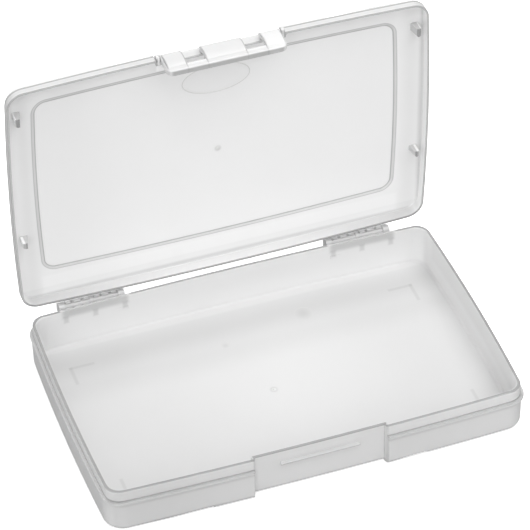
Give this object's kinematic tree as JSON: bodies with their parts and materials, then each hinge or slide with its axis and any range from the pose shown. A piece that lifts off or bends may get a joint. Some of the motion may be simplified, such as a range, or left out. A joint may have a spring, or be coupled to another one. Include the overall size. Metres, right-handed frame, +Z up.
{
  "type": "hinged plastic accessory box",
  "caption": "Shallow rectangular translucent box with bowed sides, a lid on two snap hinges, and a swinging snap latch in a front recess.",
  "frame": {"origin": "on the surface the box stands on, under the middle of the tray", "axes": "+X along the hinges, -Y the front with the latch, +Z up"},
  "size_m": [0.2078, 0.1429, 0.1586],
  "materials": {
    "tray_plastic": "translucent natural, smooth",
    "lid_plastic": "translucent natural, smooth",
    "latch_plastic": "white, smooth"
  },
  "bodies": {
    "tray_body": {"tray": "tray_plastic"},
    "lid_body": {"lid": "lid_plastic"},
    "latch_body": {"latch": "latch_plastic"}
  },
  "joints": [
    {"name": "lid_hinge", "type": "hinge", "parent": "tray_body", "child": "lid_body", "pos_m": [0, 0.07048, 0.0192], "axis": [1, 0, 0], "range_deg": [0, 88.8]},
    {"name": "latch_hinge", "type": "hinge", "parent": "lid_body", "child": "latch_body", "pos_m": [0, 0.06781, 0.1562], "axis": [1, 0, 0], "range_deg": [-95, 0]}
  ]
}
